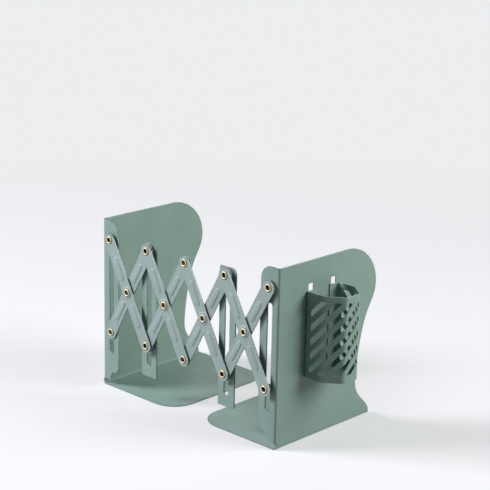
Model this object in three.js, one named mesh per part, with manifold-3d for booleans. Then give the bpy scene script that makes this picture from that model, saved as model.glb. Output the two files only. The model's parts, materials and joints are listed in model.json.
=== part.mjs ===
// Expandable bookend of folded sheet steel.
// A scissor of crossed links joins two end plates; two slotted uprights ride on it,
// and a slotted pen cup hangs on the right-hand end plate.
// Millimetres. +X runs from the left end plate to the right one, the scissor faces -Y,
// +Z is up, and the origin is at floor level under the middle of the whole object.

import * as THREE from 'three';
import { mergeVertices } from 'three/addons/utils/BufferGeometryUtils.js';
import Module from 'manifold-3d';

// Scissor: crossed links between an upper and a lower row of pivots.
const cells = 4;
const pitch = 51.8;
const linkReach = 107.5;
const linkWidth = 13.6;
const linkSheet = 1.2;
const linkGap = 0.7;

// Forms pressed out of each link: a bead along each arm and a boss round the middle pivot.
const pressedRise = 0.5;
const pressedSlope = 0.8;
const beadWidth = 5.6;
const beadFromEnd = 17.7;
const beadFromMiddle = 12.5;
const bossDiameter = 12.2;

// Washers behind the rear links, and narrower spacers where no rear link reaches a pivot.
const washerThickness = 1.8;
const washerDiameter = 13.6;
const spacerDiameter = 9.6;
const washerPlay = 0.1;

// Hollow eyelets, rolled over at both ends.
const eyeletBore = 4.4;
const barrelDiameter = 5.2;
const barrelPlay = 0.08;
const headDiameter = 8.5;
const headRise = 0.8;
const tailDiameter = 7.6;
const tailRise = 0.7;
const headPlay = 0.06;
const rollShares = [[0, 0.4], [0.2, 0.93], [0.52, 1], [0.86, 0.62], [1, 0]];

// Slots that the lower eyelets ride in.
const slotWidth = 5.6;
const slotBelowPivot = 14.6;
const slotReserve = 15.9;

// Uprights.
const uprightWidth = 21;
const uprightSheet = 1.2;
const uprightAbovePivot = 6.6;
const uprightBelowSlot = 10.8;
const uprightTopCorner = 5.5;
const uprightFootCorner = 3;
const uprightSquareCorner = 0.8;

// End plates: one blank each, folded into panel, flange and foot.
const plateSheet = 1.2;
const plateFoldRadius = 0.8;
const plateAbovePivot = 18.6;
const flangeWidth = 22;
const leftPivotInset = 12.2;
const rightPivotInset = 10.5;
const flangeBelowSlot = 19.8;
const flangeHeelWidth = 13.2;
const flangeHeelHeight = 15;
const flangeHeelCorner = 7;
const flangeNeckWidth = 9.2;
const flangeNeckHeight = 6.3;
const flangeNeckCorner = 2;
const leftFlangeCorner = 16;
const rightFlangeCorner = 12;
const panelDepth = 134.5;
const baseDepth = 131.5;
const reliefGap = 0.6;
const footLength = 100;
const footCorner = 25;
const closedFootGap = 0.6;

// Far edge of the panel, as shares of its depth and height: the points that its curves
// join, and each curve's two handles as shares of the way along in either direction.
const waistShares = [0.818, 0.224];
const shoulderShares = [0.917, 0.61];
const bulgeShares = [1, 0.77];
const crownShares = [0.69, 1];
const flareHandleShares = [[0, 0.32], [1, 0.47]];
const riseHandleShares = [[0, 0.27], [0.45, 0.79]];
const swellHandleShares = [[0.46, 0.36], [1, 0.56]];
const crownHandleShares = [[0, 0.54], [0.48, 1]];

// Pen cup: one slotted strip folded round the plan, with a floor.
const cupSheet = 1;
const cupHeight = 80.8;
const cupDepth = 36.8;
const cupWidth = 43;
const cupFrontWidth = 19;
const cupChamferDepth = 16.6;
const cupFrontRadius = 4;
const cupSideRadius = 9;
const cupBackRadius = 1.2;
const cupBackFlange = 12;
const cupFromFront = 35.9;
const cupBaseHeight = 61.4;
const cupPlay = 0.2;

// Slanted slots round the cup.
const grilleTurn = Math.PI / 4;
const grillePitch = 13.4;
const grilleSlot = 4.4;
const grilleStart = 61.3;
const grilleShortest = 4;
const grilleSideMargin = 5.5;
const grilleFootMargin = 7;
const grilleTopMargin = 5.6;

// Hooks of the cup, and the slots in the panel that they drop into.
const hookWidth = 6.1;
const hookFromSide = 3.2;
const hookBelowRim = 7.7;
const hookNeck = 3;
const hookDrop = 8;
const hookLip = 1;
const hookCorner = 0.5;
const hookSlotPlay = 0.2;
const hookSlotHeight = 14.2;
const hookSlotCorner = 0.4;

// Fineness of the curves, and how far a cutter runs past what it cuts.
const cutOverrun = 2;
const chordError = 0.07;
const leastSteps = 2;
const curveSteps = 10;
const foldSteps = 4;
const roundSides = 16;
const nearly = 0.0001;

// Heights that follow from the reach of the links when the two feet are closed together.
const foldedPitch = (2 * footLength + closedFootGap - leftPivotInset - rightPivotInset) / cells;
const foldedSpan = Math.sqrt(linkReach ** 2 - foldedPitch ** 2);
const span = Math.sqrt(linkReach ** 2 - pitch ** 2);
const linkAngle = Math.asin(pitch / linkReach);
const slotFoot = flangeHeelHeight + flangeBelowSlot;
const topPivot = slotFoot + slotReserve + slotWidth / 2 + foldedSpan;
const lowPivot = topPivot - span;
const slotTop = topPivot - slotBelowPivot;
const panelHeight = topPivot + plateAbovePivot;

// Layers of the scissor. The uprights and the right end plate have their front faces at
// y = 0, a washer behind the rear links; the left end plate lies directly behind them.
const rearLinkBack = -(washerPlay + washerThickness + washerPlay);
const rearLinkFront = rearLinkBack - linkSheet;
const frontLinkBack = rearLinkFront - linkGap;
const frontLinkFront = frontLinkBack - linkSheet;
const leftPlateFront = rearLinkBack + washerPlay;
const bossFront = frontLinkFront - pressedRise;

const pivotRadius = barrelDiameter / 2 + barrelPlay;
const plateFold = { angle: Math.PI / 2, radius: plateFoldRadius, sheet: plateSheet };
const outerRadius = plateFoldRadius + plateSheet;
const leftFace = -leftPivotInset;
const rightFace = cells * pitch + rightPivotInset;
const cupFace = rightFace + cupPlay + cupDepth;
const centreX = (leftFace + cupFace) / 2;
const centreY = (panelDepth + bossFront - headPlay - headRise) / 2;

const plateLook = { color: 0x7f9386, roughness: 0.5, metalness: 0.1 };
const linkLook = { color: 0x879b90, roughness: 0.48, metalness: 0.1 };
const brassLook = { color: 0xd6c59d, roughness: 0.3, metalness: 0.85 };
const nylonLook = { color: 0xa9a49c, roughness: 0.6, metalness: 0 };

const wasm = await Module();
wasm.setup();

const group = new THREE.Group();
group.position.set(-centreX, -centreY, 0);

// A closed geometry as a solid that can be joined and cut.
function solid(geometry) {
  const bare = geometry.clone();
  bare.deleteAttribute('normal');
  bare.deleteAttribute('uv');
  const merged = mergeVertices(bare, nearly);
  return new wasm.Manifold(new wasm.Mesh({
    numProp: 3,
    vertProperties: new Float32Array(merged.attributes.position.array),
    triVerts: new Uint32Array(merged.index.array),
  }));
}

// A solid's surface as points and faces.
function surface(body) {
  const { vertProperties, triVerts, numProp } = body.getMesh();
  const points = [];
  const faces = [];
  for (let n = 0; n < vertProperties.length; n += numProp) {
    points.push(new THREE.Vector3(...vertProperties.subarray(n, n + numProp)));
  }
  for (let n = 0; n < triVerts.length; n += 3) {
    faces.push([...triVerts.subarray(n, n + 3)]);
  }
  return { points, faces };
}

function geometryOf({ points, faces }) {
  const geometry = new THREE.BufferGeometry().setFromPoints(points);
  geometry.setIndex(faces.flat());
  return geometry;
}

function place(name, geometry, look, [x, y, z], turn = 0) {
  const flat = geometry.index ? geometry.toNonIndexed() : geometry;
  flat.computeVertexNormals();
  const mesh = new THREE.Mesh(flat, new THREE.MeshStandardMaterial(look));
  mesh.name = name;
  mesh.position.set(x, y, z);
  mesh.rotation.y = turn;
  group.add(mesh);
}

// Points of an outline whose corners are [x, y, radius], each one rounded by an arc.
function rounded(corners) {
  const points = corners.flatMap(([x, y, radius = 0], n) => {
    const corner = new THREE.Vector2(x, y);
    if (radius === 0) return [corner];
    const [previousX, previousY] = corners.at(n - 1);
    const [nextX, nextY] = corners[(n + 1) % corners.length];
    const before = new THREE.Vector2(previousX, previousY).sub(corner).normalize();
    const after = new THREE.Vector2(nextX, nextY).sub(corner).normalize();
    const half = Math.acos(before.dot(after)) / 2;
    const inward = before.clone().add(after).normalize();
    const centre = inward.multiplyScalar(radius / Math.sin(half)).add(corner);
    const start = before.clone().multiplyScalar(radius / Math.tan(half)).add(corner);
    const sweep = Math.PI - 2 * half;
    const steps = Math.max(leastSteps, Math.ceil(sweep / (2 * Math.acos(1 - chordError / radius))));
    const step = (Math.sign(after.cross(before)) * sweep) / steps;
    return Array.from({ length: steps + 1 }, (_, k) => start.clone().rotateAround(centre, k * step));
  });
  return points.filter((point, n) => point.distanceTo(points.at(n - 1)) > nearly);
}

// A rectangle between two sides and two heights, its corners rounded.
function panelOf(left, right, low, high, radius = 0) {
  return rounded([[left, low, radius], [right, low, radius], [right, high, radius], [left, high, radius]]);
}

function circle(x, y, radius) {
  return panelOf(x - radius, x + radius, y - radius, y + radius, radius);
}

// The slot on the line x = across that a lower eyelet rides in, above the given floor.
function eyeletSlot(across, floor) {
  const half = slotWidth / 2;
  return panelOf(across - half, across + half, floor + slotFoot, floor + slotTop, half);
}

function slab(points, thickness, holes = []) {
  const shape = new THREE.Shape(points);
  shape.holes = holes.map((hole) => new THREE.Path(hole));
  return new THREE.ExtrudeGeometry(shape, { depth: thickness, bevelEnabled: false });
}

// Stands up what was drawn in x and y: y becomes height, and thickness grows towards -Y.
function stood(geometry) {
  return geometry.rotateX(Math.PI / 2);
}

function between(from, to, share) {
  return THREE.MathUtils.lerp(from, to, share);
}

// Splits faces along the line x = at, so that the sheet can turn there.
function scored({ points, faces }, at) {
  const all = [...points];
  const cuts = new Map();
  const side = (n) => (Math.abs(all[n].x - at) < nearly ? 0 : Math.sign(all[n].x - at));
  const cut = (from, to) => {
    const [low, high] = from < to ? [from, to] : [to, from];
    const key = `${low} ${high}`;
    if (!cuts.has(key)) {
      const share = (at - all[low].x) / (all[high].x - all[low].x);
      cuts.set(key, all.push(all[low].clone().lerp(all[high], share).setX(at)) - 1);
    }
    return cuts.get(key);
  };
  const split = faces.flatMap((face) => {
    if (face.every((n) => side(n) === 0)) return [face];
    const loop = face.flatMap((from, n) => {
      const to = face[(n + 1) % face.length];
      return side(from) * side(to) < 0 ? [from, cut(from, to)] : [from];
    });
    return [1, -1].flatMap((half) => {
      const part = loop.filter((n) => side(n) * half >= 0);
      return part.slice(2).map((last, n) => [part[0], part[n + 1], last]);
    });
  });
  return { points: all, faces: split };
}

// Length of flat sheet, measured along its middle, that a fold takes up.
function foldLength({ angle, radius, sheet }) {
  return angle * (radius + sheet / 2);
}

// Folds what lies past a line up towards +Z. The line is square to the heading and the
// given distance along it; points that the test spares stay in the flat.
function folded(flat, fold, heading, at, spares = () => false) {
  const up = new THREE.Vector3(0, 0, 1);
  const length = foldLength(fold);
  const axisHeight = fold.sheet + fold.radius;
  let ahead = {
    points: flat.points.map((point) => point.clone().applyAxisAngle(up, -heading)),
    faces: flat.faces,
  };
  for (let step = 0; step <= foldSteps; step++) {
    ahead = scored(ahead, at + (length * step) / foldSteps);
  }
  const points = ahead.points.map((point) => {
    const drawn = point.clone().applyAxisAngle(up, heading);
    const run = point.x - at;
    if (run < nearly || spares(drawn)) return drawn;
    const turn = fold.angle * Math.min(run / length, 1);
    const past = Math.max(run - length, 0);
    const arm = axisHeight - point.z;
    const x = at + arm * Math.sin(turn) + past * Math.cos(turn);
    const z = axisHeight - arm * Math.cos(turn) + past * Math.sin(turn);
    return new THREE.Vector3(x, point.y, z).applyAxisAngle(up, heading);
  });
  return { points, faces: ahead.faces };
}

// A folded sheet as a solid, the scored lines in its flat faces smoothed away.
function joined(sheet) {
  return solid(geometryOf(sheet)).simplify(nearly);
}

// The same sheet folded the other way.
function mirrored({ points, faces }) {
  return {
    points: points.map(({ x, y, z }) => new THREE.Vector3(x, y, -z)),
    faces: faces.map(([a, b, c]) => [a, c, b]),
  };
}

// A form pressed out of a sheet whose back is at y = 0, from the outline of its flat top. It
// has sloping sides and leaves a hollow of the same depth in the back of the sheet.
function pressed(body, top) {
  const options = {
    depth: linkSheet / 2,
    bevelThickness: pressedRise,
    bevelSize: pressedSlope,
    bevelSegments: 1,
  };
  const form = stood(new THREE.ExtrudeGeometry(new THREE.Shape(top), options)).translate(0, -linkSheet / 2, 0);
  const hollow = form.clone().translate(0, linkSheet, 0);
  return body.add(solid(form)).subtract(solid(hollow));
}

// A link stood on end, its middle pivot at the origin and its back at y = 0.
function link() {
  const half = linkWidth / 2;
  const end = linkReach / 2;
  const beadHalf = beadWidth / 2 - pressedSlope;
  const low = beadFromMiddle + pressedSlope;
  const high = end - beadFromEnd - pressedSlope;
  const tops = [
    panelOf(-beadHalf, beadHalf, low, high, beadHalf),
    panelOf(-beadHalf, beadHalf, -high, -low, beadHalf),
    circle(0, 0, bossDiameter / 2 - pressedSlope),
  ];
  const strip = solid(stood(slab(panelOf(-half, half, -end - half, end + half, half), linkSheet)));
  const drill = linkSheet + pressedRise + 2 * cutOverrun;
  const bores = [-end, 0, end].map((height) => (
    solid(stood(slab(circle(0, height, pivotRadius), drill)).translate(0, cutOverrun, 0))
  ));
  const formed = tops.reduce(pressed, strip);
  return geometryOf(surface(bores.reduce((body, bore) => body.subtract(bore), formed)));
}

// A slotted upright, its pivot at the origin and its back at y = 0.
function upright(roundSide) {
  const half = uprightWidth / 2;
  const top = uprightAbovePivot;
  const foot = slotFoot - uprightBelowSlot - topPivot;
  const outline = rounded([
    [-half * roundSide, foot, uprightSquareCorner],
    [half * roundSide, foot, uprightFootCorner],
    [half * roundSide, top, uprightTopCorner],
    [-half * roundSide, top, uprightSquareCorner],
  ]);
  return stood(slab(outline, uprightSheet, [circle(0, 0, pivotRadius), eyeletSlot(0, -topPivot)]));
}

// A washer or spacer whose front face is at y = 0.
function washer(diameter, thickness) {
  const rim = diameter / 2;
  const corners = [[pivotRadius, 0], [rim, 0], [rim, thickness], [pivotRadius, thickness], [pivotRadius, 0]];
  return new THREE.LatheGeometry(corners.map((corner) => new THREE.Vector2(...corner)), roundSides);
}

// A hollow eyelet through a stack that starts at y = 0 and ends at y = depth.
function eyelet(depth) {
  const bore = eyeletBore / 2;
  const barrel = barrelDiameter / 2;
  const head = rollShares.map(([out, rise]) => [between(bore, headDiameter / 2, out), -headPlay - rise * headRise]);
  const tail = rollShares.map(([out, rise]) => [between(bore, tailDiameter / 2, out), headPlay + rise * tailRise]);
  const profile = [
    ...head,
    [barrel, -headPlay],
    [barrel, depth + headPlay],
    ...tail.map(([radius, rise]) => [radius, depth + rise]).reverse(),
    head[0],
  ];
  return new THREE.LatheGeometry(profile.map((point) => new THREE.Vector2(...point)), roundSides);
}

// Adds the far edge of an end plate's panel, from the fold of the foot up to the top edge.
function addFarEdge(outline) {
  let [depth, height] = [baseDepth, outerRadius];
  for (const [endShares, handleShares] of [
    [waistShares, flareHandleShares],
    [shoulderShares, riseHandleShares],
    [bulgeShares, swellHandleShares],
    [crownShares, crownHandleShares],
  ]) {
    const end = [endShares[0] * panelDepth, endShares[1] * panelHeight];
    const handles = handleShares.flatMap(([along, up]) => [between(depth, end[0], along), between(height, end[1], up)]);
    outline.bezierCurveTo(...handles, ...end);
    [depth, height] = end;
  }
}

// Flat blank of an end plate: x is depth behind the front, y is height, and its outer face
// is down. The flange lies in front of the panel and the foot below it; a slit above the
// foot parts their folds.
function plateBlank(pivotInset, flangeCorner, slots) {
  const flatFold = 2 * outerRadius - foldLength(plateFold);
  const flangeAt = (across) => flatFold - across;
  const footEnd = flatFold - footLength;
  const outline = new THREE.Shape(rounded([
    [outerRadius, panelHeight],
    [flangeAt(flangeWidth), panelHeight, flangeCorner],
    [flangeAt(flangeWidth), flangeHeelHeight, flangeHeelCorner],
    [flangeAt(flangeHeelWidth), flangeHeelHeight, flangeNeckCorner],
    [flangeAt(flangeNeckWidth), flangeNeckHeight, reliefGap],
    [outerRadius + reliefGap, flangeNeckHeight],
    [outerRadius + reliefGap, flangeNeckHeight - reliefGap],
    [0, flangeNeckHeight - reliefGap],
    [0, footEnd, footCorner],
    [baseDepth, footEnd, footCorner],
    [baseDepth, outerRadius],
  ]));
  addFarEdge(outline);
  const pivotLine = flangeAt(pivotInset);
  const holes = [circle(pivotLine, topPivot, pivotRadius), eyeletSlot(pivotLine, 0), ...slots];
  outline.holes = holes.map((hole) => new THREE.Path(hole));
  const options = { depth: plateSheet, bevelEnabled: false, curveSegments: curveSteps };
  return new THREE.ExtrudeGeometry(outline, options);
}

// An end plate folded from its blank, first the flange and then the foot.
function foldedPlate(pivotInset, flangeCorner, slots = []) {
  const lowest = flangeNeckHeight - reliefGap / 2;
  const isBelowFlange = ({ y }) => y < lowest;
  const flat = surface(solid(plateBlank(pivotInset, flangeCorner, slots)));
  const flanged = folded(flat, plateFold, Math.PI, -outerRadius, isBelowFlange);
  return folded(flanged, plateFold, -Math.PI / 2, -outerRadius);
}

// Stands a folded end plate up with its outer face at x = 0.
function stoodPlate(sheet) {
  return stood(geometryOf(surface(joined(sheet)))).rotateZ(Math.PI / 2);
}

// Slots in the panel for the hooks of the cup.
function hookSlots() {
  const low = cupBaseHeight + cupHeight - hookBelowRim - hookSlotPlay;
  const nearest = cupFromFront + hookFromSide;
  const farthest = cupFromFront + cupWidth - hookFromSide - hookWidth;
  return [nearest, farthest].map((edge) => {
    const [left, right] = [edge - hookSlotPlay, edge + hookWidth + hookSlotPlay];
    return panelOf(left, right, low, low + hookSlotHeight, hookSlotCorner);
  });
}

// Folds of one half of the cup's strip, each with its distance from the middle of the front,
// and the length of that half.
function cupFolds() {
  const chamferWidth = (cupWidth - cupFrontWidth) / 2;
  const lean = Math.atan2(cupChamferDepth, chamferWidth);
  const turns = [
    { angle: lean, radius: cupFrontRadius, sheet: cupSheet },
    { angle: Math.PI / 2 - lean, radius: cupSideRadius, sheet: cupSheet },
    { angle: Math.PI / 2, radius: cupBackRadius, sheet: cupSheet },
  ];
  const sides = [
    cupFrontWidth / 2,
    Math.hypot(chamferWidth, cupChamferDepth),
    cupDepth - cupChamferDepth,
    cupBackFlange,
  ];
  let corner = 0;
  const folds = turns.map((turn, n) => {
    const setback = (turn.radius + turn.sheet) * Math.tan(turn.angle / 2);
    const at = corner + sides[n] - setback;
    corner = at + foldLength(turn) - setback;
    return { ...turn, at };
  });
  return { folds, end: corner + sides.at(-1) };
}

// Slanted cutters for the flat strip. They fall towards +x, keep inside a plain margin and
// leave out offcuts too short to be a slot.
function grille(reach) {
  const low = grilleFootMargin;
  const high = cupHeight - grilleTopMargin;
  const depth = cupSheet + 2 * cutOverrun;
  const long = 2 * reach + high;
  const half = grilleSlot / 2;
  const window = solid(slab(panelOf(-reach, reach, low, high), depth));
  const first = low - reach + THREE.MathUtils.euclideanModulo(grilleStart + 2 * reach - low, grillePitch);
  const cutters = [];
  for (let height = first; height < high + reach; height += grillePitch) {
    const strip = slab(panelOf(-long, long, -half, half), depth);
    strip.rotateZ(-grilleTurn).translate(0, height, 0);
    cutters.push(solid(strip).intersect(window).translate(0, 0, -cutOverrun));
  }
  return cutters.filter((cutter) => cutter.volume() > grilleSlot * grilleShortest * depth);
}

// Floor of the cup, drawn across and deep; its edge ends inside the folded wall.
function cupFloor() {
  const inset = cupSheet / 2;
  const half = cupWidth / 2 - inset;
  const back = cupDepth - inset;
  const outline = rounded([
    [-cupFrontWidth / 2, inset, cupFrontRadius],
    [cupFrontWidth / 2, inset, cupFrontRadius],
    [half, cupChamferDepth, cupSideRadius],
    [half, back, cupBackRadius],
    [-half, back, cupBackRadius],
    [-half, cupChamferDepth, cupSideRadius],
  ]);
  return stood(slab(outline, cupSheet)).translate(0, cupSheet, 0);
}

// A hook drawn from the side: its neck leaves the back flange and its lip hangs behind the
// panel. Its width runs from x = 0.
function hook() {
  const flange = cupDepth - cupSheet / 2;
  const behind = cupDepth + cupPlay + plateSheet + cupPlay;
  const seat = cupHeight - hookBelowRim;
  const outline = rounded([
    [flange, seat],
    [behind, seat, hookCorner],
    [behind, seat - hookDrop],
    [behind + hookLip, seat - hookDrop, hookCorner],
    [behind + hookLip, seat + hookNeck, hookLip],
    [flange, seat + hookNeck],
  ]);
  return slab(outline, hookWidth).rotateY(-Math.PI / 2).translate(hookWidth, 0, 0);
}

// The pen cup. Its strip is drawn flat with the middle of its front at x = 0, slotted, and
// folded towards +Z; then the floor and the hooks are joined to it.
function penCup() {
  const { folds, end } = cupFolds();
  const back = folds.at(-1);
  const reach = back.at + foldLength(back) / 2 - grilleSideMargin;
  let strip = solid(slab(panelOf(-end, end, 0, cupHeight), cupSheet));
  for (const cutter of grille(reach)) strip = strip.subtract(cutter);
  let sheet = surface(strip);
  for (const heading of [0, Math.PI]) {
    for (const fold of folds.toReversed()) sheet = folded(sheet, fold, heading, fold.at);
  }
  let body = joined(sheet).add(solid(cupFloor()));
  const outside = cupWidth / 2 - hookFromSide;
  for (const edge of [outside - hookWidth, -outside]) {
    body = body.add(solid(hook().translate(edge, 0, 0)));
  }
  return stood(geometryOf(surface(body))).rotateZ(-Math.PI / 2);
}

const leftPlate = foldedPlate(leftPivotInset, leftFlangeCorner);
place('left_end_plate', stoodPlate(leftPlate), plateLook, [leftFace, leftPlateFront, 0]);
const rightPlate = mirrored(foldedPlate(rightPivotInset, rightFlangeCorner, hookSlots()));
place('right_end_plate', stoodPlate(rightPlate), plateLook, [rightFace, 0, 0]);
place('pen_cup', penCup(), plateLook, [cupFace, cupFromFront + cupWidth / 2, cupBaseHeight]);
place('left_upright', upright(-1), plateLook, [pitch, uprightSheet, topPivot]);
place('right_upright', upright(1), plateLook, [(cells - 1) * pitch, uprightSheet, topPivot]);

// Links: the front layer falls to the right, the rear layer rises to the right.
const middle = (topPivot + lowPivot) / 2;
for (let cell = 0; cell < cells; cell++) {
  const x = (cell + 1 / 2) * pitch;
  place(`front_link_${cell + 1}`, link(), linkLook, [x, frontLinkBack, middle], -linkAngle);
  place(`rear_link_${cell + 1}`, link(), linkLook, [x, rearLinkBack, middle], linkAngle);
  const stack = rearLinkBack - frontLinkFront;
  place(`middle_eyelet_${cell + 1}`, eyelet(stack), brassLook, [x, bossFront, middle]);
}

// Pivots at the top and bottom of the scissor. At its two ends only one layer reaches each
// pivot, and the middle pair joins links alone; elsewhere a plate stands behind both layers.
for (let column = 0; column <= cells; column++) {
  for (const [row, height] of [['top', topPivot], ['low', lowPivot]]) {
    const frontLayer = row === 'top' ? column < cells : column > 0;
    const rearLayer = row === 'top' ? column > 0 : column < cells;
    const plated = column !== cells / 2;
    const plateFront = column === 0 ? leftPlateFront : 0;
    const start = frontLayer ? frontLinkFront : rearLinkFront;
    const end = plated ? plateFront + plateSheet : rearLinkBack;
    const x = column * pitch;
    place(`${row}_eyelet_${column + 1}`, eyelet(end - start), brassLook, [x, start, height]);
    const thickness = plateFront - (rearLayer ? rearLinkBack : frontLinkBack) - 2 * washerPlay;
    if (!plated || thickness < washerPlay) continue;
    const ring = washer(rearLayer ? washerDiameter : spacerDiameter, thickness);
    const name = `${row}_${rearLayer ? 'washer' : 'spacer'}_${column + 1}`;
    place(name, ring, nylonLook, [x, plateFront - washerPlay - thickness, height]);
  }
}

export default group;
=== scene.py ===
import json
import math

import bmesh
import bpy
from mathutils import Euler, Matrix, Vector


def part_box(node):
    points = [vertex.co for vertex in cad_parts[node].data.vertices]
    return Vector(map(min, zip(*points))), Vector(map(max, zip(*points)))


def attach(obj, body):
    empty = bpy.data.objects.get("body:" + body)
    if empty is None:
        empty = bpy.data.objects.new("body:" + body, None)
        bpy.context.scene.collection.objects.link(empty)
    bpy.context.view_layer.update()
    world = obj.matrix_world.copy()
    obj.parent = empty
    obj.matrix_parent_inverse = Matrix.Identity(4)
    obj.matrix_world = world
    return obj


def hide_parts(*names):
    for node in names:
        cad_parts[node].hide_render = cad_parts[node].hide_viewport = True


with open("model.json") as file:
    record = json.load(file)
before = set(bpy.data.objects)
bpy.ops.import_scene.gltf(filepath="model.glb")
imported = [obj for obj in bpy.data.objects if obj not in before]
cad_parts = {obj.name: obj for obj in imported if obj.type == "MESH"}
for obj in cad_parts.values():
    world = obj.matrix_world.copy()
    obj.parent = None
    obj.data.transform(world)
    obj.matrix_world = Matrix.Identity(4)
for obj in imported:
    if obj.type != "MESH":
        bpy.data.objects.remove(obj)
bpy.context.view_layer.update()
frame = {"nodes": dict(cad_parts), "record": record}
scene = bpy.context.scene
nodes = frame["nodes"]
bodies = frame["record"]["behaviour"]["bodies"]
slots = {part["node"]: part["material_slot"] for part in frame["record"]["subparts"]}
body_of = {node: body for body, members in bodies.items() for node in members}
MM = 0.001


# Shader nodes

def new_material(name):
    material = bpy.data.materials.new(name)
    material.use_nodes = True
    tree = material.node_tree
    return material, tree, tree.nodes["Principled BSDF"]


def add(tree, kind, **values):
    """A node of that kind; values whose names are sockets are set on its inputs."""
    node = tree.nodes.new(kind)
    for key, value in values.items():
        if key in node.inputs:
            node.inputs[key].default_value = value
        else:
            setattr(node, key, value)
    return node


def noise(tree, scale, detail=3.0, roughness=0.5):
    """Noise in the object's own coordinates; the scale is in cells per metre."""
    place = add(tree, "ShaderNodeTexCoord")
    texture = add(tree, "ShaderNodeTexNoise", Scale=scale, Detail=detail, Roughness=roughness)
    tree.links.new(place.outputs["Object"], texture.inputs["Vector"])
    return texture.outputs["Fac"]


def spread(tree, factor, low, high, start=0.3, stop=0.7):
    """Maps a factor from start to stop onto low to high."""
    ranged = add(tree, "ShaderNodeMapRange", **{
        "From Min": start, "From Max": stop, "To Min": low, "To Max": high})
    tree.links.new(factor, ranged.inputs["Value"])
    return ranged.outputs["Result"]


def two_tones(tree, factor, first, second):
    """Mixes two colours, each given as three numbers or as another node's output."""
    mix = add(tree, "ShaderNodeMix", data_type="RGBA")
    tree.links.new(factor, mix.inputs["Factor"])
    for socket, tone in (("A", first), ("B", second)):
        if isinstance(tone, bpy.types.NodeSocket):
            tree.links.new(tone, mix.inputs[socket])
        else:
            mix.inputs[socket].default_value = (*tone, 1)
    return mix.outputs["Result"]


def combined(tree, operation, first, second):
    """The product, the larger and so on of two values."""
    node = add(tree, "ShaderNodeMath", operation=operation)
    tree.links.new(first, node.inputs[0])
    tree.links.new(second, node.inputs[1])
    return node.outputs["Value"]


def linear(red, green, blue):
    """A colour read as it looks on a screen, as the shader needs it."""
    return [((v / 255 + 0.055) / 1.055) ** 2.4 for v in (red, green, blue)]


def bump(tree, shader, height, strength, distance):
    node = add(tree, "ShaderNodeBump", Strength=strength, Distance=distance)
    tree.links.new(height, node.inputs["Height"])
    tree.links.new(node.outputs["Normal"], shader.inputs["Normal"])


def edge_mask(tree, radius):
    """Near 1 on sharp edges and 0 on flat faces, from how far a rounded normal turns."""
    rounded = add(tree, "ShaderNodeBevel", Radius=radius, samples=4)
    place = add(tree, "ShaderNodeNewGeometry")
    along = add(tree, "ShaderNodeVectorMath", operation="DOT_PRODUCT")
    tree.links.new(rounded.outputs["Normal"], along.inputs[0])
    tree.links.new(place.outputs["Normal"], along.inputs[1])
    return spread(tree, along.outputs["Value"], low=1, high=0, start=0.88, stop=0.99)


# Finishes

def powder_coat(name, dark, light, edge, roughness):
    """Satin powder coat: broad mottling, a painted highlight as a thin paler line along sharp edges, an
    uneven sheen, a fine orange peel.
    """
    material, tree, shader = new_material(name)
    mottle = spread(tree, noise(tree, scale=38, detail=2.0), low=0, high=1)
    coat = two_tones(tree, mottle, dark, light)
    # Painted highlight: the edge tone is mixed in along sharp edges, broken up by noise, in place of the
    # light that the rims catch.
    highlight_breakup = spread(tree, noise(tree, scale=240), low=0.35, high=0.9)
    edge_highlight = combined(tree, "MULTIPLY", edge_mask(tree, radius=0.7 * MM), highlight_breakup)
    tree.links.new(two_tones(tree, edge_highlight, coat, edge), shader.inputs["Base Color"])
    sheen = spread(tree, noise(tree, scale=120, detail=4.0), low=roughness - 0.05, high=roughness + 0.06)
    tree.links.new(sheen, shader.inputs["Roughness"])
    shader.inputs["Specular IOR Level"].default_value = 0.5
    shader.inputs["Coat Weight"].default_value = 0.12
    shader.inputs["Coat Roughness"].default_value = 0.3
    peel = noise(tree, scale=1300, detail=2.0, roughness=0.55)
    bump(tree, shader, peel, strength=0.42, distance=0.12 * MM)
    return material


def stained(name, tones, stain_scale, stain_detail, metallic, roughness, grain_scale, grain_strength):
    """A metal of two tones in fine stains, unevenly dull, with a fine grain."""
    material, tree, shader = new_material(name)
    stain = spread(tree, noise(tree, stain_scale, stain_detail), low=0, high=1)
    tree.links.new(two_tones(tree, stain, *tones), shader.inputs["Base Color"])
    shader.inputs["Metallic"].default_value = metallic
    dull = spread(tree, noise(tree, scale=900), low=roughness[0], high=roughness[1])
    tree.links.new(dull, shader.inputs["Roughness"])
    grain = noise(tree, grain_scale, detail=2.0)
    bump(tree, shader, grain, grain_strength, distance=0.05 * MM)
    return material


def nylon(name, tones):
    """Grey nylon, clouded and slightly waxy."""
    material, tree, shader = new_material(name)
    cloud = spread(tree, noise(tree, scale=300), low=0, high=1)
    tree.links.new(two_tones(tree, cloud, *tones), shader.inputs["Base Color"])
    shader.inputs["Roughness"].default_value = 0.46
    shader.inputs["Subsurface Weight"].default_value = 0.08
    shader.inputs["Subsurface Scale"].default_value = 1 * MM
    bump(tree, shader, noise(tree, scale=1800, detail=2.0), strength=0.1, distance=0.06 * MM)
    return material


looks = {
    # The edge tones are painted highlights: paler lines along the sheet's rims.
    "painted_plate": powder_coat(
        "sage_plate", dark=linear(119, 145, 135), light=linear(125, 151, 141),
        edge=linear(176, 198, 190), roughness=0.45),
    "painted_link": powder_coat(
        "sage_link", dark=linear(137, 156, 151), light=linear(143, 162, 157),
        edge=linear(202, 219, 214), roughness=0.43),
    "eyelet": stained(
        "pale_brass", (linear(216, 198, 156), linear(236, 221, 184)), stain_scale=420, stain_detail=4.0,
        metallic=0.45, roughness=(0.36, 0.5), grain_scale=3200, grain_strength=0.12),
    "washer": nylon("grey_nylon", (linear(118, 114, 109), linear(138, 133, 127))),
}
# The unplated inside of an eyelet: dull with oxide, and painted near black as the shade inside the bore.
bore_oxide_and_shade_look = stained(
    "bore_oxide_and_shade", (linear(28, 24, 20), linear(52, 44, 34)), stain_scale=700, stain_detail=3.0,
    metallic=0.3, roughness=(0.55, 0.75), grain_scale=2600, grain_strength=0.15)
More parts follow.
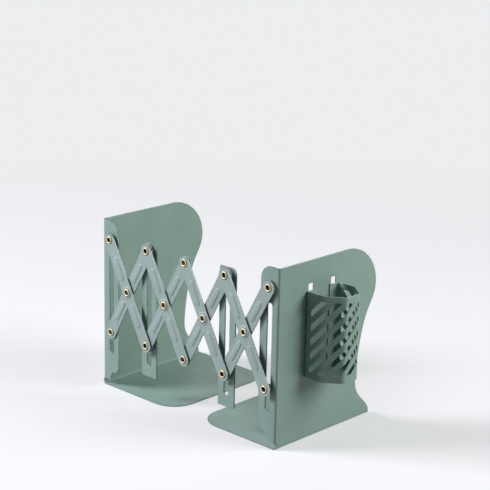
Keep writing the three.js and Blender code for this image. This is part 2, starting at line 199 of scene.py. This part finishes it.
# The thin outer edge of an eyelet, dull, and painted dark as the shade that rings the eyelet's head.
collar_shade_look = stained(
    "collar_painted_shade", (linear(98, 110, 100), linear(126, 138, 124)), stain_scale=650, stain_detail=3.0,
    metallic=0.15, roughness=(0.5, 0.68), grain_scale=2400, grain_strength=0.15)


# The plates, uprights and links keep their own meshes; modifiers round their cut edges.

WELD_GAP = 0.01 * MM
FLAT_WITHIN = math.radians(0.4)
RIM_ANGLE, RIM_STEPS = math.radians(60), 3
FORM_ANGLE, FORM_STEPS = math.radians(27), 2
PLATE_RIM, LINK_RIM, FORM_ROUND = 0.3 * MM, 0.4 * MM, 0.24 * MM


def bevel(node, name, limit, width, segments):
    cut = node.modifiers.new(name, "BEVEL")
    cut.limit_method = "ANGLE"
    cut.angle_limit = limit
    cut.width = width
    cut.segments = segments
    cut.use_clamp_overlap = False
    cut.harden_normals = True
    cut.miter_outer = "MITER_ARC"


def soften(node, rim):
    """Rounds the cut rims of the sheet, and then the softer turns of its pressed forms."""
    mesh = node.data
    if "custom_normal" in mesh.attributes:
        mesh.attributes.remove(mesh.attributes["custom_normal"])
    for face in mesh.polygons:
        face.use_smooth = True
    weld = node.modifiers.new("weld", "WELD")
    weld.merge_threshold = WELD_GAP
    flat = node.modifiers.new("flat", "DECIMATE")
    flat.decimate_type = "DISSOLVE"
    flat.angle_limit = FLAT_WITHIN
    bevel(node, "rims", RIM_ANGLE, rim, RIM_STEPS)
    bevel(node, "forms", FORM_ANGLE, FORM_ROUND, FORM_STEPS)


for name, node in nodes.items():
    node.data.materials.clear()
    node.data.materials.append(looks[slots[name]])
    if slots[name] == "painted_link":
        soften(node, LINK_RIM)
    elif slots[name] == "painted_plate" and name != "pen_cup":
        soften(node, PLATE_RIM)


def stand_for(piece, node_name):
    """Puts a piece in a node's place, on the same body and in the same finish."""
    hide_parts(node_name)
    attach(piece, body_of[node_name])
    piece.data.materials.append(looks[slots[node_name]])


# Turned pieces: a closed profile of (radius, place along y) swept round an axis along y.

TURN_STEPS = 72


def turned(name, profile, centre):
    mesh = bpy.data.meshes.new(name)
    work = bmesh.new()
    rings = [[work.verts.new((
        centre[0] + radius * math.cos(turn), centre[1] + depth, centre[2] + radius * math.sin(turn)))
        for turn in (2 * math.pi * k / TURN_STEPS for k in range(TURN_STEPS))]
        for radius, depth in profile]
    for ring, following in zip(rings, rings[1:] + rings[:1]):
        for k in range(TURN_STEPS):
            n = (k + 1) % TURN_STEPS
            work.faces.new((ring[k], ring[n], following[n], following[k]))
    bmesh.ops.recalc_face_normals(work, faces=work.faces)
    for face in work.faces:
        face.smooth = True
    work.to_mesh(mesh)
    work.free()
    piece = bpy.data.objects.new(name, mesh)
    scene.collection.objects.link(piece)
    return piece


def arc(centre_radius, centre_depth, radius, start, stop, steps):
    turns = (math.radians(start + (stop - start) * k / steps) for k in range(steps + 1))
    return [(centre_radius + radius * math.cos(t), centre_depth + radius * math.sin(t)) for t in turns]


def axis_and_box(node_name):
    low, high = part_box(node_name)
    return ((low.x + high.x) / 2, 0, (low.z + high.z) / 2), low, high


# Eyelets: the radii of the bore, barrel, bright ring, head and tail, and the heights of the rolled
# ends and of the collar, painted dark as shade, above the sheet.
BORE, BARREL = 2.4 * MM, 2.6 * MM
RING, HEAD, TAIL = 3.5 * MM, 4.2 * MM, 3.8 * MM
HEAD_RISE, TAIL_RISE, COLLAR_RISE = 0.8 * MM, 0.7 * MM, 0.22 * MM
COLLAR_ROUND = 0.15 * MM
ROLL_STEPS = 14
ROLL_FULLNESS = 0.8
HAIR = 0.01 * MM


def rolled_end(rim, rise):
    """From the bore outwards: a full round up to the ring, a thin collar, and the barrel.
    Each point is (radius, height above the sheet)."""
    roll = (RING - BORE) / 2
    turns = (math.pi * k / ROLL_STEPS for k in range(ROLL_STEPS + 1))
    points = [(BORE + roll - roll * math.cos(turn), max(rise * math.sin(turn) ** ROLL_FULLNESS, COLLAR_RISE))
              for turn in turns]
    return points + [
        (RING + HAIR, COLLAR_RISE), (rim - COLLAR_ROUND, COLLAR_RISE), (rim, COLLAR_RISE - COLLAR_ROUND),
        (rim, 0), (BARREL, 0)]


def eyelet(node_name):
    """A hollow eyelet: a rolled head in front, a barrel, and a smaller rolled tail."""
    centre, low, high = axis_and_box(node_name)
    head_seat, tail_seat = low.y + HEAD_RISE, high.y - TAIL_RISE
    profile = [(radius, head_seat - up) for radius, up in rolled_end(HEAD, HEAD_RISE)]
    profile += [(radius, tail_seat + up) for radius, up in reversed(rolled_end(TAIL, TAIL_RISE))]
    piece = turned("ring_" + node_name, profile, centre)
    stand_for(piece, node_name)
    # The bore's near-black tone is oxide and painted shade.
    piece.data.materials.append(bore_oxide_and_shade_look)
    # The collar's dark tone is painted shade.
    piece.data.materials.append(collar_shade_look)
    for face in piece.data.polygons:
        corners = [piece.data.vertices[v].co for v in face.vertices]
        reaches = [math.hypot(corner.x - centre[0], corner.z - centre[2]) for corner in corners]
        if max(reaches) < BORE + HAIR:
            face.material_index = 1
        elif min(reaches) > RING - HAIR:
            face.material_index = 2


WASHER_BORE = 2.7 * MM
WASHER_ROUND = 0.3 * MM


def washer(node_name):
    """A moulded washer with rounded rims."""
    centre, low, high = axis_and_box(node_name)
    rim = (high.x - low.x) / 2 - WASHER_ROUND
    inner = WASHER_BORE + WASHER_ROUND / 2
    profile = [
        *arc(inner, low.y + WASHER_ROUND / 2, WASHER_ROUND / 2, 180, 270, steps=3),
        *arc(rim, low.y + WASHER_ROUND, WASHER_ROUND, 270, 360, steps=5),
        *arc(rim, high.y - WASHER_ROUND, WASHER_ROUND, 0, 90, steps=5),
        *arc(inner, high.y - WASHER_ROUND / 2, WASHER_ROUND / 2, 90, 180, steps=3),
    ]
    stand_for(turned("ring_" + node_name, profile, centre), node_name)


for name in nodes:
    if slots[name] == "eyelet":
        eyelet(name)
    elif slots[name] == "washer":
        washer(name)


# The pen cup: one slotted strip folded round the plan, a floor, and two hooks on its back.
# The strip is drawn flat, with round rims, and then bent; x runs from the middle of its front.

CUP_SHEET = 1 * MM
CUP_FRONT_WIDTH = 19 * MM
CUP_CHAMFER_DEPTH = 16.6 * MM
CUP_BACK_FLANGE = 12 * MM
CUP_FRONT_BEND, CUP_SIDE_BEND, CUP_BACK_BEND = 4 * MM, 9 * MM, 1.2 * MM
CUP_PLAY = 0.2 * MM
SLOT_WIDTH, SLOT_PITCH, SLOT_START = 4.4 * MM, 13.4 * MM, 61.3 * MM
SLOT_SHORTEST = 4 * MM
SLOT_SIDE_MARGIN, SLOT_FOOT_MARGIN, SLOT_TOP_MARGIN = 5.5 * MM, 7 * MM, 5.6 * MM
HOOK_WIDTH, HOOK_FROM_SIDE, HOOK_BELOW_RIM = 6.1 * MM, 3.2 * MM, 7.7 * MM
HOOK_NECK, HOOK_DROP, HOOK_LIP = 3 * MM, 8 * MM, 1 * MM
HOOK_STEPS = 6
SHEET_RIM = 0.22 * MM
BEND_STEPS = 12
FLOOR_STEPS = 120
SAME_POINT, SAME_PLANE = 0.002 * MM, 0.0001 * MM
EVEN_WEIGHT = 60


def sheet_mesh(outline, holes, thickness):
    """A flat sheet with round rims, drawn in x and y, from z = 0 up."""
    curve = bpy.data.curves.new("outline", "CURVE")
    curve.dimensions = "2D"
    curve.fill_mode = "BOTH"
    curve.extrude = thickness / 2 - SHEET_RIM
    curve.bevel_depth = SHEET_RIM
    curve.bevel_resolution = 2
    curve.offset = -SHEET_RIM
    for loop in (outline, *holes):
        spline = curve.splines.new("POLY")
        spline.points.add(len(loop) - 1)
        for point, (x, y) in zip(spline.points, loop):
            point.co = (x, y, 0, 1)
        spline.use_cyclic_u = True
    drawn = bpy.data.objects.new("outline", curve)
    filled = bpy.data.meshes.new_from_object(drawn)
    sheet = bmesh.new()
    sheet.from_mesh(filled)
    bpy.data.objects.remove(drawn)
    bpy.data.curves.remove(curve)
    bpy.data.meshes.remove(filled)
    bmesh.ops.remove_doubles(sheet, verts=sheet.verts, dist=SAME_POINT)
    bmesh.ops.translate(sheet, verts=sheet.verts, vec=(0, 0, thickness / 2))
    return sheet


def cup_bends(width, depth):
    """The bends of half the strip as (start, length, radius, angle), and its half length."""
    chamfer_width = (width - CUP_FRONT_WIDTH) / 2
    lean = math.atan2(CUP_CHAMFER_DEPTH, chamfer_width)
    turns = [(CUP_FRONT_BEND, lean), (CUP_SIDE_BEND, math.pi / 2 - lean), (CUP_BACK_BEND, math.pi / 2)]
    sides = [CUP_FRONT_WIDTH / 2, math.hypot(chamfer_width, CUP_CHAMFER_DEPTH), depth - CUP_CHAMFER_DEPTH]
    corner = 0
    bends = []
    for (radius, angle), side in zip(turns, sides):
        setback = (radius + CUP_SHEET) * math.tan(angle / 2)
        start = corner + side - setback
        length = angle * (radius + CUP_SHEET / 2)
        bends.append((start, length, radius, angle))
        corner = start + length - setback
    return bends, corner + CUP_BACK_FLANGE


def bent(point, bends):
    """Where a point of the flat strip goes, as (across, deep, up)."""
    along, side = abs(point.x), math.copysign(1, point.x)
    foot, heading, inward = Vector((0, 0)), Vector((1, 0)), Vector((0, 1))
    reached = 0
    for start, length, radius, angle in bends:
        if along <= start:
            break
        axis = foot + (start - reached) * heading + (radius + CUP_SHEET) * inward
        turn = angle * min((along - start) / length, 1)
        heading, inward = (math.cos(turn) * heading + math.sin(turn) * inward,
                           math.cos(turn) * inward - math.sin(turn) * heading)
        foot = axis - (radius + CUP_SHEET) * inward
        reached = min(start + length, along)
    place = foot + (along - reached) * heading + point.z * inward
    return Vector((side * place.x, place.y, point.y))


def cut_off(loop, limit, side):
    """A convex loop of (x, y) points without what lies past a height: above it (1) or below it (-1)."""
    kept = []
    for start, end in zip(loop, loop[1:] + loop[:1]):
        inside = [(limit - y) * side >= 0 for x, y in (start, end)]
        if inside[0]:
            kept.append(start)
        if inside[0] != inside[1]:
            share = (limit - start[1]) / (end[1] - start[1])
            kept.append(tuple(a + share * (b - a) for a, b in zip(start, end)))
    return kept


def area(loop):
    return abs(sum(a[0] * b[1] - a[1] * b[0] for a, b in zip(loop, loop[1:] + loop[:1]))) / 2


def cup_slots(reach, height):
    """Slots that fall at 45 degrees towards +x, cut off by the plain margins."""
    low, high = SLOT_FOOT_MARGIN, height - SLOT_TOP_MARGIN
    half = SLOT_WIDTH / 2 * math.sqrt(2)
    middle = low - reach + (SLOT_START + 2 * reach - low) % SLOT_PITCH
    loops = []
    while middle < high + reach:
        band = [(-reach, middle + reach - half), (reach, middle - reach - half),
                (reach, middle - reach + half), (-reach, middle + reach + half)]
        loops.append(cut_off(cut_off(band, high, 1), low, -1))
        middle += SLOT_PITCH
    return [loop for loop in loops if len(loop) > 2 and area(loop) > SLOT_WIDTH * SLOT_SHORTEST]


def cup_strip(bends, end, height):
    """The wall: the slotted strip, cut into narrow bands along its bends and folded."""
    back_start, back_length = bends[-1][:2]
    reach = back_start + back_length / 2 - SLOT_SIDE_MARGIN
    outline = [(-end, 0), (end, 0), (end, height), (-end, height)]
    strip = sheet_mesh(outline, cup_slots(reach, height), CUP_SHEET)
    for start, length, *_ in bends:
        for step in range(BEND_STEPS + 1):
            for side in (1, -1):
                everything = strip.verts[:] + strip.edges[:] + strip.faces[:]
                across = side * (start + length * step / BEND_STEPS)
                bmesh.ops.bisect_plane(
                    strip, geom=everything, dist=SAME_PLANE, plane_co=(across, 0, 0), plane_no=(1, 0, 0))
    for vert in strip.verts:
        vert.co = bent(vert.co, bends)
    return strip


def cup_floor(bends):
    """The floor, whose edge ends inside the wall all the way round."""
    end = bends[-1][0] + bends[-1][1]
    alongs = (end * (2 * k / FLOOR_STEPS - 1) for k in range(FLOOR_STEPS + 1))
    plan = [bent(Vector((along, 0, CUP_SHEET / 2)), bends) for along in alongs]
    return sheet_mesh([(p.x, p.y) for p in plan], [], CUP_SHEET)


def cup_hook(edge, depth, height, behind):
    """A hook drawn from the side, from the back flange to the far face of its lip."""
    flange, inner = depth - CUP_SHEET / 2, behind - HOOK_LIP
    seat = height - HOOK_BELOW_RIM
    turns = (math.pi / 2 * k / HOOK_STEPS for k in range(HOOK_STEPS + 1))
    outline = [
        (flange, seat), (inner, seat), (inner, seat - HOOK_DROP), (behind, seat - HOOK_DROP),
        *((inner + HOOK_LIP * math.cos(t), seat + HOOK_NECK - HOOK_LIP + HOOK_LIP * math.sin(t))
          for t in turns),
        (flange, seat + HOOK_NECK)]
    hook = sheet_mesh(outline, [], HOOK_WIDTH)
    for vert in hook.verts:
        vert.co = (edge + vert.co.z, vert.co.x, vert.co.y)
    return hook


def pen_cup():
    low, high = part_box("pen_cup")
    panel_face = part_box("right_end_plate")[1].x
    width, height = high.y - low.y, high.z - low.z
    depth = high.x - panel_face - CUP_PLAY
    bends, end = cup_bends(width, depth)
    outside = width / 2 - HOOK_FROM_SIDE
    pieces = [cup_strip(bends, end, height), cup_floor(bends)]
    for edge in (outside - HOOK_WIDTH, -outside):
        pieces.append(cup_hook(edge, depth, height, high.x - low.x))
    whole = bmesh.new()
    for piece in pieces:
        part = bpy.data.meshes.new("part")
        bmesh.ops.recalc_face_normals(piece, faces=piece.faces)
        piece.to_mesh(part)
        piece.free()
        whole.from_mesh(part)
        bpy.data.meshes.remove(part)
    for vert in whole.verts:
        across, deep, up = vert.co
        vert.co = (high.x - deep, (low.y + high.y) / 2 - across, low.z + up)
    bmesh.ops.reverse_faces(whole, faces=whole.faces)
    for face in whole.faces:
        face.smooth = True
    mesh = bpy.data.meshes.new("slotted_pen_cup")
    whole.to_mesh(mesh)
    whole.free()
    cup = bpy.data.objects.new("slotted_pen_cup", mesh)
    scene.collection.objects.link(cup)
    even = cup.modifiers.new("even", "WEIGHTED_NORMAL")
    even.mode = "FACE_AREA"
    even.weight = EVEN_WEIGHT
    stand_for(cup, "pen_cup")


pen_cup()


# Camera at the photograph's angle.

camera_data = bpy.data.cameras.new("camera")
camera_data.lens = 110.47
camera_data.sensor_width = 36
camera = bpy.data.objects.new("camera", camera_data)
scene.collection.objects.link(camera)
camera.location = (0.93078, -0.98895, 0.54681)
camera.rotation_euler = Euler([math.radians(a) for a in (74.0539, -1.2319, 43.8160)])
camera_data.clip_start, camera_data.clip_end = 0.05, 50
scene.camera = camera


# Floor: a pale tone where it is seen, and a darker one for the light that it throws back.

FLOOR_HALF = 12
FLOOR_TONE = (0.84, 0.85, 0.865)
FLOOR_GRAIN = ((0.78, 0.79, 0.80), (0.81, 0.82, 0.83))
FLOOR_BOUNCE = (0.12, 0.12, 0.12)
FLOOR_LIFT, LIFT_FROM, LIFT_TO = 0.5, 0.25, 1.1


def seen_directly(tree):
    """1 for what the camera, a reflection or a clear piece shows, and 0 for the light on the object."""
    rays = add(tree, "ShaderNodeLightPath").outputs
    shown = combined(tree, "MAXIMUM", rays["Is Camera Ray"], rays["Is Glossy Ray"])
    return combined(tree, "MAXIMUM", shown, rays["Is Transmission Ray"])


def pale_floor():
    material, tree, shader = new_material("pale_floor")
    seen = seen_directly(tree)
    grain = two_tones(tree, spread(tree, noise(tree, scale=3, detail=2.0), low=0, high=1), *FLOOR_GRAIN)
    tree.links.new(two_tones(tree, seen, FLOOR_BOUNCE, grain), shader.inputs["Base Color"])
    shader.inputs["Roughness"].default_value = 0.55
    # Away from the object the floor fades to an even pale tone where it is seen.
    place = add(tree, "ShaderNodeTexCoord")
    away = add(tree, "ShaderNodeVectorMath", operation="LENGTH")
    tree.links.new(place.outputs["Object"], away.inputs[0])
    fade = spread(tree, away.outputs["Value"], low=FLOOR_LIFT, high=1, start=LIFT_FROM, stop=LIFT_TO)
    glow = add(tree, "ShaderNodeEmission", Color=(*FLOOR_TONE, 1), Strength=1)
    blend = add(tree, "ShaderNodeMixShader")
    tree.links.new(combined(tree, "MULTIPLY", fade, seen), blend.inputs["Fac"])
    tree.links.new(shader.outputs["BSDF"], blend.inputs[1])
    tree.links.new(glow.outputs["Emission"], blend.inputs[2])
    tree.links.new(blend.outputs["Shader"], tree.nodes["Material Output"].inputs["Surface"])
    return material


floor_mesh = bpy.data.meshes.new("floor")
corners = [(x * FLOOR_HALF, y * FLOOR_HALF, 0) for x, y in ((-1, -1), (1, -1), (1, 1), (-1, 1))]
floor_mesh.from_pydata(corners, [], [(0, 1, 2, 3)])
floor_mesh.materials.append(pale_floor())
floor = bpy.data.objects.new("floor", floor_mesh)
scene.collection.objects.link(floor)


# Soft studio light, and a world that gives a faint fill and shows the pale background.

LIGHT_AIM = Vector((0, 0, 0.09))
WORLD_TONE = (0.9, 0.98, 0.98)
WORLD_FILL = 0.045


def softbox(name, place, side, power, colour):
    data = bpy.data.lights.new(name, "AREA")
    data.shape = "RECTANGLE"
    data.size, data.size_y = side, side
    data.energy = power
    data.color = colour
    lamp = bpy.data.objects.new(name, data)
    scene.collection.objects.link(lamp)
    lamp.location = place
    lamp.rotation_mode = "QUATERNION"
    lamp.rotation_quaternion = (LIGHT_AIM - Vector(place)).to_track_quat("-Z", "Y")


softbox("left_front", place=(-1.45, -1.4, 1.35), side=0.88, power=84, colour=(1.0, 0.98, 1.06))
softbox("right_back", place=(1.25, 0.76, 0.95), side=1.0, power=30, colour=(1.0, 1.0, 0.98))

world = bpy.data.worlds.new("world")
world.use_nodes = True
sky_tree = world.node_tree
sky = two_tones(sky_tree, seen_directly(sky_tree), [WORLD_FILL * c for c in WORLD_TONE], FLOOR_TONE)
sky_tree.links.new(sky, sky_tree.nodes["Background"].inputs["Color"])
scene.world = world

scene.view_settings.view_transform = "Standard"
